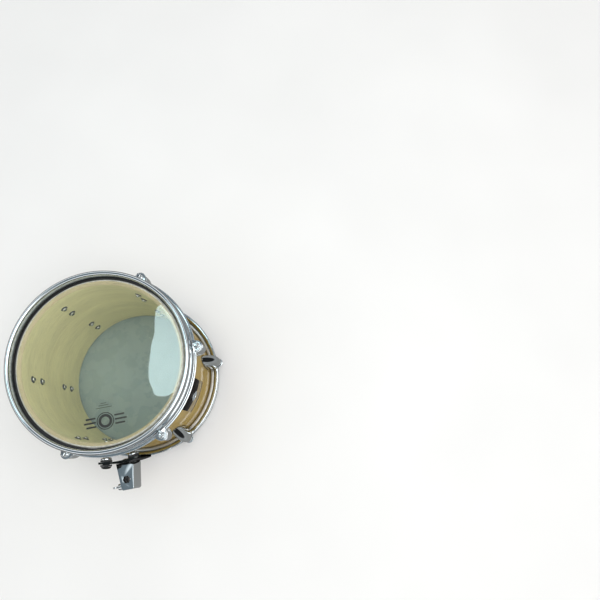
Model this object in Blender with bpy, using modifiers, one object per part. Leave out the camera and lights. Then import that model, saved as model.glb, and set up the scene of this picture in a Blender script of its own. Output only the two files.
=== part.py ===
"""Ten-inch rack tom: maple shell, two tensioned heads and a hex-rod receiver on a standoff plate.

The drum stands on its resonant hoop with its axis along +Z. The receiver points along -Y.
"""
import math

import bmesh
import bpy
from mathutils import Matrix, Vector

# Driving dimensions, in metres.
SHELL_RADIUS = 0.127
SHELL_WALL = 0.006
SHELL_DEPTH = 0.200
RIM_RISE = 0.013  # how far a hoop's lip stands beyond its head
LUG_COUNT = 6
ROD_CIRCLE = 0.1452  # radius of the circle of tension rods
GAP = 0.0003  # clearance between pieces that touch

# Hoop section, measured from the drum axis and from the plane of the head.
LIP_CENTRE = 0.1355
LIP_RADIUS = 0.0028
HOOP_SHEET = 0.002
EAR_DROP = 0.0185
EAR_SHEET = 0.0023
EAR_RADIUS = 0.0080
ROD_HOLE = 0.0033

# Tension rods, swivel nuts and lugs.
ROD_RADIUS = 0.0027
ROD_LENGTH = 0.030
KEY_SIZE = 0.00635
KEY_HEIGHT = 0.008
ROD_FLANGE = 0.0053
NUT_RADIUS = 0.0048
NUT_LENGTH = 0.018
LUG_TOP = 0.027  # distance of a lug's hollow end below the head
LUG_LENGTH = 0.048
POCKET_DEPTH = 0.0225

# Badge and vent, half way between two lugs.
BADGE_ANGLE = math.radians(-30)
BADGE_WIDTH = 0.055
BADGE_HEIGHT = 0.058
BADGE_SHEET = 0.0010
VENT_RADIUS = 0.0062

# Tom mount: radii are distances from the drum axis towards -Y.
PLATE_RADIUS = 0.150
PLATE_SHEET = 0.003
PLATE_WIDTH = 0.066
PLATE_HEIGHT = 0.062
PLATE_TOP = 0.027  # below the batter head
POST_ANGLE = math.radians(8.2)
POST_DROP = 0.036
SCREW_RADIUS = 0.0027
SCREW_BORE = 0.0031
RECEIVER_BACK = 0.1533
RECEIVER_END = 0.1945
RECEIVER_DROP = 0.0525
RECEIVER_HEIGHT = 0.034
COLLAR_HEIGHT = 0.013
BACK_HALF_WIDTH = 0.0135
END_HALF_WIDTH = 0.00925
BORE_RADIUS = 0.179
JAW_SPACE = 0.1610
LEDGE_END = 0.1690
BORE_FLATS = 0.0106
HINGE_X, HINGE_RADIUS = -0.0078, 0.1650
HINGE_PIN = 0.0014
EYE_X, EYE_RADIUS = 0.0042, 0.1882
EYE_PIN = 0.0013
BACK_SCREW = 0.0025
EYE_BOLT_LENGTH = 0.0275
EYE_BOLT_THICK = 0.0025
NUT_SETBACK = 0.0037  # space between the wing nut and the jaw while the clamp is loose
WING_SPAN = 0.030

SEGMENTS = 48
MID_HEIGHT = RIM_RISE + SHELL_DEPTH / 2
BATTER = MID_HEIGHT + SHELL_DEPTH / 2
HEAD = SHELL_DEPTH / 2  # plane of a head, from the middle of the drum
LIP_OUTSIDE = LIP_CENTRE + LIP_RADIUS + HOOP_SHEET / 2
AXIS_Y = (RECEIVER_END - LIP_OUTSIDE) / 2
CENTRE = Vector((0, AXIS_Y, MID_HEIGHT))
SIDES = {"batter": 0.0, "reso": math.pi}


def clear_scene():
    for old in list(bpy.data.objects):
        bpy.data.objects.remove(old, do_unlink=True)


def new_collection(name):
    group = bpy.data.collections.new(name)
    bpy.context.scene.collection.children.link(group)
    return group


def material(name, colour, roughness, metallic=0.0, alpha=1.0):
    made = bpy.data.materials.new(name)
    made.use_nodes = True
    shader = made.node_tree.nodes["Principled BSDF"]
    shader.inputs["Base Color"].default_value = (*colour, 1)
    shader.inputs["Roughness"].default_value = roughness
    shader.inputs["Metallic"].default_value = metallic
    shader.inputs["Alpha"].default_value = alpha
    made.diffuse_color = (*colour, alpha)
    return made


def add(name, mesh, finish=None, group=None):
    piece = bpy.data.objects.new(name, mesh)
    (group or PARTS).objects.link(piece)
    if finish:
        mesh.materials.clear()
        mesh.materials.append(finish)
    return piece


def mesh_from(shape, name):
    bmesh.ops.recalc_face_normals(shape, faces=shape.faces)
    mesh = bpy.data.meshes.new(name)
    shape.to_mesh(mesh)
    shape.free()
    mesh.shade_smooth()
    mesh.set_sharp_from_angle(angle=math.radians(35))
    return mesh


def evaluated(piece):
    """The object's mesh with its modifiers applied."""
    bpy.context.view_layer.update()
    graph = bpy.context.evaluated_depsgraph_get()
    return bpy.data.meshes.new_from_object(piece.evaluated_get(graph))


def profile_mesh(name, points, closed):
    shape = bmesh.new()
    verts = [shape.verts.new((radius, 0, height)) for radius, height in points]
    for start, end in zip(verts, verts[1:] + verts[:1] if closed else verts[1:]):
        shape.edges.new((start, end))
    mesh = bpy.data.meshes.new(name)
    shape.to_mesh(mesh)
    shape.free()
    return mesh


def turned(name, points, finish=None, closed=True, sheet=0.0, steps=SEGMENTS, group=None):
    """A section turned about Z: closed for a ring, or a line that starts and ends on the axis."""
    piece = add(name, profile_mesh(name, points, closed), finish, group)
    screw = piece.modifiers.new("turn", "SCREW")
    screw.steps = screw.render_steps = steps
    screw.use_merge_vertices = True
    screw.merge_threshold = 0.00001
    screw.use_smooth_shade = False
    if sheet:
        wall = piece.modifiers.new("sheet", "SOLIDIFY")
        wall.thickness = sheet
        wall.offset = 0
        wall.use_even_offset = True
    return piece


def ring_section(inner, outer, low, high):
    """The four corners of a rectangular ring, going down its outer side."""
    return [(outer, high), (outer, low), (inner, low), (inner, high)]


def loft(name, rings):
    """A closed body through rings that have the same number of points."""
    shape = bmesh.new()
    rows = [[shape.verts.new(point) for point in ring] for ring in rings]
    for lower, upper in zip(rows, rows[1:]):
        for index in range(len(lower)):
            following = (index + 1) % len(lower)
            shape.faces.new((lower[index], lower[following], upper[following], upper[index]))
    shape.faces.new(rows[0][::-1])
    shape.faces.new(rows[-1])
    return mesh_from(shape, name)


def circle(radius, count, height=0.0, turn=0.0):
    angles = [turn + 2 * math.pi * index / count for index in range(count)]
    return [Vector((radius * math.cos(a), radius * math.sin(a), height)) for a in angles]


def prism(name, outline, low, high):
    """A flat outline in X and Y, extruded from one height to another."""
    rings = [[Vector((point[0], point[1], height)) for point in outline] for height in (low, high)]
    return loft(name, rings)


def rounded_outline(half_width, half_height, corner, points=4):
    outline = []
    for quarter, (x, y) in enumerate(((1, 1), (-1, 1), (-1, -1), (1, -1))):
        for index in range(points):
            angle = math.pi / 2 * (quarter + index / (points - 1))
            outline.append((x * (half_width - corner) + corner * math.cos(angle),
                            y * (half_height - corner) + corner * math.sin(angle)))
    return outline


def cutter(name, mesh, matrix=None):
    tool = add(name, mesh, group=CUTTERS)
    tool.matrix_world = matrix or Matrix()
    tool.hide_render = True
    tool.display_type = "WIRE"
    return tool


def combine(piece, tool, operation):
    step = piece.modifiers.new(operation.lower(), "BOOLEAN")
    step.object = tool
    step.operation = operation
    step.solver = "EXACT"


def cut(piece, name, mesh, matrix=None):
    combine(piece, cutter(name, mesh, matrix), "DIFFERENCE")


def radial(angle, distance=0.0, height=0.0):
    """A matrix whose local Z points away from the drum axis, and whose local Y points up."""
    outward = Vector((math.cos(angle), math.sin(angle), 0))
    place = Matrix((Vector((0, 0, 1)).cross(outward), Vector((0, 0, 1)), outward)).transposed().to_4x4()
    place.translation = Vector((0, AXIS_Y, height)) + outward * distance
    return place


def box_mesh(name, low, high):
    outline = [(low[0], low[1]), (high[0], low[1]), (high[0], high[1]), (low[0], high[1])]
    return prism(name, outline, low[2], high[2])


def at_mount(x, radius):
    """A point of the tom mount: radius is its distance from the drum axis along -Y."""
    return (x, AXIS_Y - radius)


def place_about_axis(piece, side, angle=0.0):
    piece.location = CENTRE
    piece.rotation_euler = (SIDES[side], 0, angle)


def make_shell():
    inner = SHELL_RADIUS - SHELL_WALL
    edge = [(SHELL_RADIUS, HEAD - 0.0020), (SHELL_RADIUS - 0.0005, HEAD - 0.0006),
            (SHELL_RADIUS - 0.0015, HEAD), (inner, HEAD - 0.0045)]
    lower = [(radius, -height) for radius, height in edge]
    shell = turned("shell", edge[::-1] + lower, MAPLE)
    shell.location = CENTRE
    hole = loft("vent_hole", [circle(VENT_RADIUS, 20, 0.100), circle(VENT_RADIUS, 20, 0.140)])
    cut(shell, "vent_hole", hole, radial(BADGE_ANGLE, 0, MID_HEIGHT))


def make_head(side):
    """A moulded film whose collar drops into the channel of its ring."""
    top, under = HEAD + 2 * GAP, HEAD + GAP
    film = [(0, top), (0.1262, top), (0.1279, HEAD - 0.0012), (0.1286, HEAD - 0.0085),
            (0.1283, HEAD - 0.0085), (0.1276, HEAD - 0.0012), (0.1261, under), (0, under)]
    finish = CLEAR_FILM if side == "batter" else GREY_FILM
    place_about_axis(turned(f"{side}_head_film", film, finish, closed=False), side)
    ring = ring_section(0.1290, 0.1336, HEAD - 0.0100, HEAD - 0.0022)
    place_about_axis(turned(f"{side}_head_ring", ring, ALUMINIUM), side)


def ear_outline():
    """A tab that grows out of the hoop's lower flange, round about the rod."""
    root, half = LIP_CENTRE + 0.0008, EAR_RADIUS + 0.0025
    tip = [(ROD_CIRCLE + EAR_RADIUS * math.cos(a), EAR_RADIUS * math.sin(a))
           for a in (math.radians(-75 + 25 * index) for index in range(7))]
    return [(root, -half), (root + 0.0040, -half)] + tip + [(root + 0.0040, half), (root, half)]


def make_hoop(side):
    """A triple-flanged hoop of pressed steel: rolled lip, step over the head's ring, flange with ears."""
    flat = math.radians(18)
    centre = HEAD + RIM_RISE - HOOP_SHEET / 2 - LIP_RADIUS * math.cos(flat)
    lip = [(LIP_CENTRE + LIP_RADIUS * math.cos(2 * flat * index),
            centre + LIP_RADIUS * math.sin(2 * flat * index)) for index in range(6)]
    skirt = [(0.1326, HEAD + 0.0010), (0.1345, HEAD - 0.0006), (0.1357, HEAD - 0.0030),
             (0.1360, HEAD - 0.0155), (0.1385, HEAD - EAR_DROP), (0.1420, HEAD - EAR_DROP)]
    hoop = turned(f"{side}_hoop", lip + skirt, CHROME, closed=False, sheet=HOOP_SHEET)
    place_about_axis(hoop, side)
    low, high = HEAD - EAR_DROP - EAR_SHEET / 2, HEAD - EAR_DROP + EAR_SHEET / 2
    for index in range(LUG_COUNT):
        turn = Matrix.Rotation(2 * math.pi * index / LUG_COUNT, 4, "Z")
        place = Matrix.Translation(CENTRE) @ Matrix.Rotation(SIDES[side], 4, "X") @ turn
        ear = cutter(f"{side}_ear_{index}", prism("ear", ear_outline(), low, high), place)
        combine(hoop, ear, "UNION")
    for index in range(LUG_COUNT):
        turn = Matrix.Rotation(2 * math.pi * index / LUG_COUNT, 4, "Z")
        place = Matrix.Translation(CENTRE) @ Matrix.Rotation(SIDES[side], 4, "X") @ turn
        place = place @ Matrix.Translation((ROD_CIRCLE, 0, 0))
        hole = loft("ear_hole", [circle(ROD_HOLE, 10, low - 0.002), circle(ROD_HOLE, 10, high + 0.002)])
        cut(hoop, f"{side}_ear_hole_{index}", hole, place)


def lug_section(width, depth, height):
    """A flat back against the shell, straight sides and a half-round front."""
    back, half = SHELL_RADIUS + 0.0006, width / 2
    nose = max(depth - half, depth * 0.4)
    front = [Vector((back + nose + (depth - nose) * math.cos(a), half * math.sin(a), height))
             for a in (math.radians(-90 + 22.5 * index) for index in range(9))]
    return [Vector((back, half, height)), Vector((back, -half, height))] + front


def lug_mesh():
    """A bullet lug, hollow at the hoop's end for its swivel nut, that tapers to a tail."""
    top = HEAD - LUG_TOP
    steps = ((0.000, 0.0205, 0.0240), (0.0015, 0.0220, 0.0255), (0.024, 0.0220, 0.0255),
             (0.033, 0.0195, 0.0190), (0.040, 0.0155, 0.0115), (0.0455, 0.0105, 0.0055),
             (LUG_LENGTH, 0.0060, 0.0020))
    body = add("lug", loft("lug", [lug_section(w, d, top - drop) for drop, w, d in steps]), group=CUTTERS)
    pocket = loft("pocket", [circle(NUT_RADIUS + 0.0006, 12, top - POCKET_DEPTH),
                             circle(NUT_RADIUS + 0.0006, 12, top + 0.002)])
    cut(body, "lug_pocket", pocket, Matrix.Translation((ROD_CIRCLE, 0, 0)))
    mesh = evaluated(body)
    bpy.data.objects.remove(body)
    return mesh


def rod_mesh():
    """Shank, washer flange and square key head, about its own axis."""
    seat = HEAD - EAR_DROP + EAR_SHEET / 2 + GAP
    count = 8  # the square has a point at each corner and at the middle of each side
    square = [Vector((point.x, point.y, 0)) / max(abs(point.x), abs(point.y)) * KEY_SIZE / 2
              for point in circle(1, count, turn=math.pi / 4)]
    head = [[point + Vector((0, 0, height)) for point in square]
            for height in (seat + 0.0022, seat + 0.0020 + KEY_HEIGHT)]
    return loft("tension_rod", [circle(ROD_RADIUS - 0.0006, count, seat - ROD_LENGTH - 0.001),
                                circle(ROD_RADIUS, count, seat - ROD_LENGTH),
                                circle(ROD_RADIUS, count, seat), circle(ROD_FLANGE, count, seat),
                                circle(ROD_FLANGE, count, seat + 0.0012),
                                circle(ROD_FLANGE - 0.0012, count, seat + 0.0022)] + head)


def make_lugs_and_rods():
    lug, rod = lug_mesh(), rod_mesh()
    nut_top = HEAD - LUG_TOP - 0.001
    tube = ring_section(ROD_RADIUS + GAP, NUT_RADIUS, nut_top - NUT_LENGTH, nut_top)
    pattern = turned("nut", tube, steps=10, group=CUTTERS)
    nut = evaluated(pattern)
    bpy.data.objects.remove(pattern)
    for side in SIDES:
        for index in range(LUG_COUNT):
            angle = 2 * math.pi * index / LUG_COUNT
            number = index + 1
            place_about_axis(add(f"{side}_lug_{number}", lug, CHROME), side, angle)
            for name, mesh, finish in (("tension_rod", rod, CHROME), ("swivel_nut", nut, STEEL)):
                piece = add(f"{side}_{name}_{number}", mesh, finish)
                place_about_axis(piece, side, angle)
                piece.location += Vector((math.cos(angle), math.sin(angle), 0)) * ROD_CIRCLE


def curved_plate(name, inner, sheet, outline, angle, height, finish):
    """A piece of a turned ring, trimmed to an outline that faces away from the drum axis."""
    reach = max(abs(y) for x, y in outline) + 0.005
    plate = turned(name, ring_section(inner, inner + sheet, -reach, reach), finish)
    plate.location = Vector((0, AXIS_Y, height))
    rings = [[Vector((x, y, z)) for x, y in outline] for z in (inner * 0.8, inner * 1.2)]
    trim = cutter(f"{name}_outline", loft("outline", rings), radial(angle, 0, height))
    combine(plate, trim, "INTERSECT")
    return plate


def make_badge_and_vent():
    outline = rounded_outline(BADGE_WIDTH / 2, BADGE_HEIGHT / 2, 0.002)
    badge = curved_plate("badge", SHELL_RADIUS + GAP, BADGE_SHEET, outline, BADGE_ANGLE, MID_HEIGHT, BLACK)
    hole = loft("badge_hole", [circle(VENT_RADIUS, 20, 0.120), circle(VENT_RADIUS, 20, 0.140)])
    cut(badge, "badge_hole", hole, radial(BADGE_ANGLE, 0, MID_HEIGHT))
    flange = SHELL_RADIUS + BADGE_SHEET + 2 * GAP
    inside = SHELL_RADIUS - SHELL_WALL - 0.0005
    eyelet = [(0.0088, flange), (0.0058, flange), (0.0058, inside), (0.0048, inside),
              (0.0048, flange + 0.0008), (0.0062, flange + 0.0012), (0.0084, flange + 0.0008)]
    vent = turned("vent_grommet", eyelet, CHROME, steps=20)
    vent.matrix_world = radial(BADGE_ANGLE, 0, MID_HEIGHT)


def post_places():
    straight = -math.pi / 2
    return {"left": straight - POST_ANGLE, "right": straight + POST_ANGLE}


def make_mount_plate():
    outline = rounded_outline(PLATE_WIDTH / 2, PLATE_HEIGHT / 2, 0.009)
    height = BATTER - PLATE_TOP - PLATE_HEIGHT / 2
    facing = -math.pi / 2
    plate = curved_plate("mount_plate", PLATE_RADIUS, PLATE_SHEET, outline, facing, height, DARK_CHROME)
    for side, angle in post_places().items():
        hole = loft("grommet_hole", [circle(0.0056, 16, 0.140), circle(0.0056, 16, 0.165)])
        cut(plate, f"{side}_grommet_hole", hole, radial(angle, 0, BATTER - POST_DROP))
    for level, height in screw_heights().items():
        hole = loft("screw_hole", [circle(SCREW_BORE, 12, 0), circle(SCREW_BORE, 12, 0.025)])
        cut(plate, f"{level}_screw_hole", hole, radial(-math.pi / 2, 0.140, height))


def screw_heights():
    middle = BATTER - RECEIVER_DROP - RECEIVER_HEIGHT / 2
    return {"upper": middle + 0.0095, "lower": middle - 0.0075}


def make_posts():
    """Each side has a post on the shell, a rubber grommet in the plate and a screw through both."""
    middle = PLATE_RADIUS + PLATE_SHEET / 2
    foot, post_top = SHELL_RADIUS + 0.0006, middle - 0.0052
    low, high = post_top + GAP, middle + 0.0048
    seat = high + GAP
    post = [(0, foot + 0.0050), (SCREW_BORE, foot + 0.0050), (SCREW_BORE, post_top), (0.0080, post_top),
            (0.0080, post_top - 0.0022), (0.0050, post_top - 0.0022), (0.0050, foot + 0.0030),
            (0.0080, foot + 0.0030), (0.0080, foot), (0, foot)]
    neck = [(0.0085, high), (0.0085, middle + 0.0021), (0.0051, middle + 0.0021), (0.0051, middle - 0.0021),
            (0.0085, middle - 0.0021), (0.0085, low), (SCREW_BORE, low), (SCREW_BORE, high)]
    screw = [(0, seat + 0.0034), (0.0048, seat + 0.0030), (0.0072, seat + 0.0010), (0.0072, seat),
             (SCREW_RADIUS, seat), (SCREW_RADIUS, foot + 0.0065), (0, foot + 0.0065)]
    for side, angle in post_places().items():
        place = radial(angle, 0, BATTER - POST_DROP)
        turned(f"{side}_mount_post", post, CHROME, closed=False, steps=16).matrix_world = place
        turned(f"{side}_grommet", neck, RUBBER, steps=16).matrix_world = place
        turned(f"{side}_mount_screw", screw, DARK_CHROME, closed=False, steps=16).matrix_world = place


def half_width(radius):
    share = (radius - RECEIVER_BACK) / (RECEIVER_END - RECEIVER_BACK)
    return BACK_HALF_WIDTH + (END_HALF_WIDTH - BACK_HALF_WIDTH) * share


def receiver_outline():
    """Trapezoid that narrows away from the drum, with its two outer corners chamfered."""
    near = RECEIVER_END - 0.002
    right = [(BACK_HALF_WIDTH, RECEIVER_BACK), (half_width(near), near),
             (END_HALF_WIDTH - 0.002, RECEIVER_END)]
    left = [(-x, radius) for x, radius in reversed(right)]
    return [at_mount(*point) for point in right + left]


def hex_bore(low, high):
    corner = BORE_FLATS / math.sqrt(3)
    rings = [circle(corner, 6, height) for height in (low, high)]
    shift = Vector((*at_mount(0, BORE_RADIUS), 0))
    return loft("hex_bore", [[point + shift for point in ring] for ring in rings])


def pin_mesh(radius, x, distance, low, high, sides=12):
    shift = Vector((*at_mount(x, distance), 0))
    rings = [[point + shift for point in circle(radius, sides, height)] for height in (low, high)]
    return loft("pin", rings)


def mount_box(name, x_range, radius_range, heights):
    low = (x_range[0], AXIS_Y - radius_range[1], heights[0])
    high = (x_range[1], AXIS_Y - radius_range[0], heights[1])
    return box_mesh(name, low, high)


def make_receiver():
    """A cast block: a full collar round the hex bore, over a clamp with a fixed and a hinged half."""
    top = BATTER - RECEIVER_DROP
    bottom, clamp_top = top - RECEIVER_HEIGHT, top - COLLAR_HEIGHT
    bolt = (bottom + clamp_top) / 2
    ledge = bottom + 0.0030
    body = add("receiver", prism("receiver", receiver_outline(), bottom, top), CHROME)
    rounding = body.modifiers.new("edges", "BEVEL")
    rounding.width = 0.0009
    rounding.segments = 2
    rounding.limit_method = "ANGLE"
    left, below = (-BACK_HALF_WIDTH * 2, GAP), (bottom - 0.01, ledge + 0.001)
    cut(body, "jaw_space", mount_box("space", left, (JAW_SPACE, 0.21), (ledge, clamp_top)))
    cut(body, "ledge_space", mount_box("space", left, (LEDGE_END, 0.21), below))
    cut(body, "receiver_bore", hex_bore(bottom - 0.01, top + 0.01))
    pin_low, pin_high = bottom - 0.001, clamp_top + 0.0040
    cut(body, "hinge_bore", pin_mesh(HINGE_PIN + GAP, HINGE_X, HINGE_RADIUS, pin_low, pin_high))
    slot = (bolt - 0.0038, bolt + 0.0038)
    cut(body, "bolt_slot", mount_box("slot", (left[0], 0.0079), (EYE_RADIUS - 0.0040, 0.21), slot))
    cut(body, "eye_bore", pin_mesh(EYE_PIN + GAP, EYE_X, EYE_RADIUS, bolt - 0.0075, bolt + 0.0075))
    for level, height in screw_heights().items():
        hole = loft("tapped", [circle(BACK_SCREW + 0.0004, 12, 0), circle(BACK_SCREW + 0.0004, 12, 0.010)])
        cut(body, f"tapped_{level}", hole, radial(-math.pi / 2, RECEIVER_BACK - 0.004, height))
    make_jaw(ledge, clamp_top, slot)
    add("hinge_pin", pin_mesh(HINGE_PIN, HINGE_X, HINGE_RADIUS, pin_low + 0.0012, pin_high - 0.0004), STEEL)
    add("eye_pin", pin_mesh(EYE_PIN, EYE_X, EYE_RADIUS, bolt - 0.0071, bolt + 0.0071), STEEL)
    make_eye_bolt(bolt)
    make_wing_nut(bolt)


def make_jaw(ledge, clamp_top, slot):
    """The hinged half of the clamp, with a knuckle round the hinge pin and a notch for the bolt."""
    low, high = ledge + GAP, clamp_top - GAP
    parting, inside, near = -0.0006, 0.1700, RECEIVER_END - 0.002
    knuckle = [(HINGE_X + 0.0036 * math.cos(a), HINGE_RADIUS + 0.0036 * math.sin(a))
               for a in (math.radians(110 + 28 * index) for index in range(9))]
    outline = [(parting, inside), (parting, RECEIVER_END), (-END_HALF_WIDTH + 0.002, RECEIVER_END),
               (-half_width(near), near), (-half_width(inside), inside)] + knuckle
    jaw = add("clamp_jaw", prism("clamp_jaw", [at_mount(*point) for point in outline], low, high), CHROME)
    cut(jaw, "jaw_bore", hex_bore(low - 0.01, high + 0.01))
    cut(jaw, "knuckle_bore", pin_mesh(HINGE_PIN + GAP, HINGE_X, HINGE_RADIUS, low - 0.01, high + 0.01))
    notch = mount_box("notch", (-0.03, 0.01), (EYE_RADIUS - 0.0036, 0.21), slot)
    cut(jaw, "jaw_notch", notch)
    set_origin(jaw, (*at_mount(HINGE_X, HINGE_RADIUS), (low + high) / 2))


def set_origin(piece, point):
    """Moves a piece's origin to a world point without moving the piece."""
    piece.data.transform(Matrix.Translation(-Vector(point)))
    piece.location = point


def along_bolt(bolt):
    """A matrix at the eye's centre whose local Z runs along the bolt, to -X."""
    return Matrix.Translation((*at_mount(EYE_X, EYE_RADIUS), bolt)) @ Matrix.Rotation(-math.pi / 2, 4, "Y")


def make_eye_bolt(bolt):
    half = 0.0030
    outline = [(0.0034 * math.cos(a), 0.0034 * math.sin(a))
               for a in (math.radians(30 * index) for index in range(12))]
    eye = add("eye_bolt", prism("eye_bolt", outline, -half, half), STEEL)
    eye.location = (*at_mount(EYE_X, EYE_RADIUS), bolt)
    shank = loft("shank", [circle(EYE_BOLT_THICK, 12, 0.0026), circle(EYE_BOLT_THICK, 12, EYE_BOLT_LENGTH),
                           circle(EYE_BOLT_THICK - 0.0005, 12, EYE_BOLT_LENGTH + 0.0006)])
    combine(eye, cutter("bolt_shank", shank, along_bolt(bolt)), "UNION")
    cut(eye, "eye_hole", pin_mesh(EYE_PIN + GAP, EYE_X, EYE_RADIUS, bolt - 0.01, bolt + 0.01))


def make_wing_nut(bolt):
    """A hub with two flat wings that lean away from the jaw."""
    seat = EYE_X + half_width(EYE_RADIUS) + NUT_SETBACK
    hub = [(0.0048, seat + 0.0085), (0.0056, seat + 0.0015), (0.0056, seat), (0.0029, seat),
           (0.0029, seat + 0.0085)]
    nut = turned("wing_nut", hub, CHROME, steps=16)
    nut.matrix_world = along_bolt(bolt)
    tip = WING_SPAN / 2
    upper = [(0.0040, seat + 0.0015), (0.0075, seat + 0.0025), (tip, seat + 0.0075),
             (tip, seat + 0.0115), (tip - 0.0025, seat + 0.0135), (tip - 0.0060, seat + 0.0125),
             (0.0040, seat + 0.0070)]
    for name, sign in (("upper", 1), ("lower", -1)):
        rings = [[Vector((sign * x, y, z)) for x, z in upper] for y in (-0.0013, 0.0013)]
        combine(nut, cutter(f"{name}_wing", loft("wing", rings), along_bolt(bolt)), "UNION")


def make_receiver_screws():
    """Two pan-head screws from behind the plate into the receiver's block."""
    head = PLATE_RADIUS - GAP
    tip = RECEIVER_BACK + 0.0052
    section = [(0, tip), (BACK_SCREW, tip), (BACK_SCREW, head), (0.0048, head),
               (0.0044, head - 0.0026), (0, head - 0.0030)]
    for level, height in screw_heights().items():
        screw = turned(f"{level}_receiver_screw", section, STEEL, closed=False, steps=16)
        screw.matrix_world = radial(-math.pi / 2, 0, height)


clear_scene()
PARTS = new_collection("tom_tom_drum")
CUTTERS = new_collection("cutters")
MAPLE = material("maple_lacquer", (0.72, 0.50, 0.27), 0.25)
CHROME = material("chrome", (0.80, 0.81, 0.83), 0.10, 1.0)
DARK_CHROME = material("dark_chrome", (0.20, 0.20, 0.21), 0.25, 1.0)
STEEL = material("steel", (0.55, 0.55, 0.56), 0.30, 1.0)
ALUMINIUM = material("aluminium", (0.78, 0.79, 0.80), 0.35, 1.0)
CLEAR_FILM = material("clear_film", (0.90, 0.90, 0.86), 0.10, 0.0, 0.25)
GREY_FILM = material("grey_film", (0.60, 0.65, 0.68), 0.20, 0.0, 0.70)
RUBBER = material("rubber", (0.03, 0.03, 0.03), 0.70)
BLACK = material("black_enamel", (0.02, 0.02, 0.02), 0.25)

make_shell()
for drum_side in SIDES:
    make_head(drum_side)
    make_hoop(drum_side)
make_lugs_and_rods()
make_badge_and_vent()
make_mount_plate()
make_posts()
make_receiver()
make_receiver_screws()
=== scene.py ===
"""The looks of the tom tom drum: fine meshes, procedural materials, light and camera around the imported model.

Sizes are in metres. A mesh is made about the middle of the drum, with +Z up to the batter head.
"""
import math

import bmesh
import bpy
from mathutils import Matrix, Vector


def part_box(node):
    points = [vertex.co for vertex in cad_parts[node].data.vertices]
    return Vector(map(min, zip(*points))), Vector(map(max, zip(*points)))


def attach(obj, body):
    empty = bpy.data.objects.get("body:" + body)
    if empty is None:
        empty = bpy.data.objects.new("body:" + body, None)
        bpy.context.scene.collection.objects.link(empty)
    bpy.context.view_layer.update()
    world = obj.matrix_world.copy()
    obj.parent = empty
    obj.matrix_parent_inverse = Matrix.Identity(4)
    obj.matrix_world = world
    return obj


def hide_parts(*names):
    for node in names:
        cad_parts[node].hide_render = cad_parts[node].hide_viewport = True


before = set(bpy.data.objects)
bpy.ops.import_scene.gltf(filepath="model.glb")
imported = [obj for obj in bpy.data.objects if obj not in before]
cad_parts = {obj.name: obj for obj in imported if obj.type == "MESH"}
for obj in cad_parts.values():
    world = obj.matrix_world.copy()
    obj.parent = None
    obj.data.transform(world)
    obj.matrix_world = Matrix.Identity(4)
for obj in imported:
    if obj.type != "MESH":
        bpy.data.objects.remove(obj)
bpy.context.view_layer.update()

# The drum, read from the frame.
SHELL_LOW, SHELL_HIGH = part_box("shell")
SHELL_RADIUS = (SHELL_HIGH.x - SHELL_LOW.x) / 2
HEAD = (SHELL_HIGH.z - SHELL_LOW.z) / 2  # plane of a head, from the middle of the drum
CENTRE = (SHELL_LOW + SHELL_HIGH) / 2
BATTER = SHELL_HIGH.z
RIM_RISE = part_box("batter_hoop")[1].z - BATTER
ROD_CIRCLE = sum((corner.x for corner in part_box("batter_tension_rod_1")), 0.0) / 2
RECEIVER_LOW, RECEIVER_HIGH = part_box("receiver")
RECEIVER_END = CENTRE.y - RECEIVER_LOW.y
RECEIVER_BACK = CENTRE.y - RECEIVER_HIGH.y

# The rest repeats the design's own sizes.
SIDES = {"batter": 0.0, "reso": math.pi}
LUG_COUNT = 6
SHELL_WALL = 0.006
EDGE_DEPTH = 0.0046  # the bearing edge's cut plies
FLAT_RADIUS = 0.1250  # the head is flat to here
BEND_RADIUS, BEND_CENTRE, BEND_DROP = 0.0035, 0.1251, 0.0029
HIGHLIGHT_START_RADIUS = 0.1262  # the painted highlight on the film's bend starts at this radius
CHANNEL_SHADE_EDGE = 0.1331  # painted shade covers the head ring's channel inside this radius, for the shaded gap under the hoop
GAP = 0.0003
LIP_CENTRE = 0.1355
LIP_RADIUS = 0.0028
HOOP_SHEET = 0.0020
EAR_DROP = 0.0185
EAR_SHEET = 0.0023
EAR_RADIUS = 0.0080
ROD_HOLE = 0.0033
ROD_RADIUS = 0.0027
ROD_LENGTH = 0.030
THREAD_PITCH = 0.00106
KEY_SIZE = 0.00635
KEY_HEIGHT = 0.008
LUG_TOP = 0.027
LUG_LENGTH = 0.048
LUG_WIDTH = 0.022
LUG_DEPTH = 0.0255
POCKET_RADIUS = 0.0054
POCKET_DEPTH = 0.0225
LUG_SCREWS = (0.036, 0.063)  # below the head
PRINT_PLACE = Vector((-0.001, -0.0905, 0))
BADGE_ANGLE = math.radians(-30)
BADGE_WIDTH, BADGE_HEIGHT = 0.055, 0.058
VENT_RADIUS = 0.0062
PLATE_RADIUS, PLATE_SHEET = 0.150, 0.003
PLATE_WIDTH, PLATE_HEIGHT, PLATE_TOP = 0.066, 0.062, 0.027
POST_ANGLE = math.radians(8.2)
POST_DROP = 0.036
SCREW_RADIUS, SCREW_BORE = 0.0027, 0.0031
RECEIVER_DROP = 0.0525
RECEIVER_HEIGHT = 0.034
COLLAR_HEIGHT = 0.013
BACK_HALF_WIDTH, END_HALF_WIDTH = 0.0135, 0.00925
BORE_RADIUS, BORE_FLATS = 0.179, 0.0106
HINGE_X, HINGE_RADIUS, HINGE_PIN = -0.0078, 0.1650, 0.0014
EYE_X, EYE_RADIUS, EYE_PIN = 0.0042, 0.1882, 0.0013
JAW_SPACE, LEDGE_END = 0.1610, 0.1690
EYE_BOLT_LENGTH, EYE_BOLT_THICK = 0.0275, 0.0025
NUT_SETBACK = 0.0037
WING_SPAN = 0.030
FINE = 192  # steps round the large turned pieces
FRONT = -math.pi / 2  # the mount's side


# Outlines

def arc(centre, radius, start, end, count):
    """Points of an arc in a plane, with its angles in degrees."""
    turns = [math.radians(start + (end - start) * index / (count - 1)) for index in range(count)]
    return [(centre[0] + radius * math.cos(a), centre[1] + radius * math.sin(a)) for a in turns]


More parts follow.
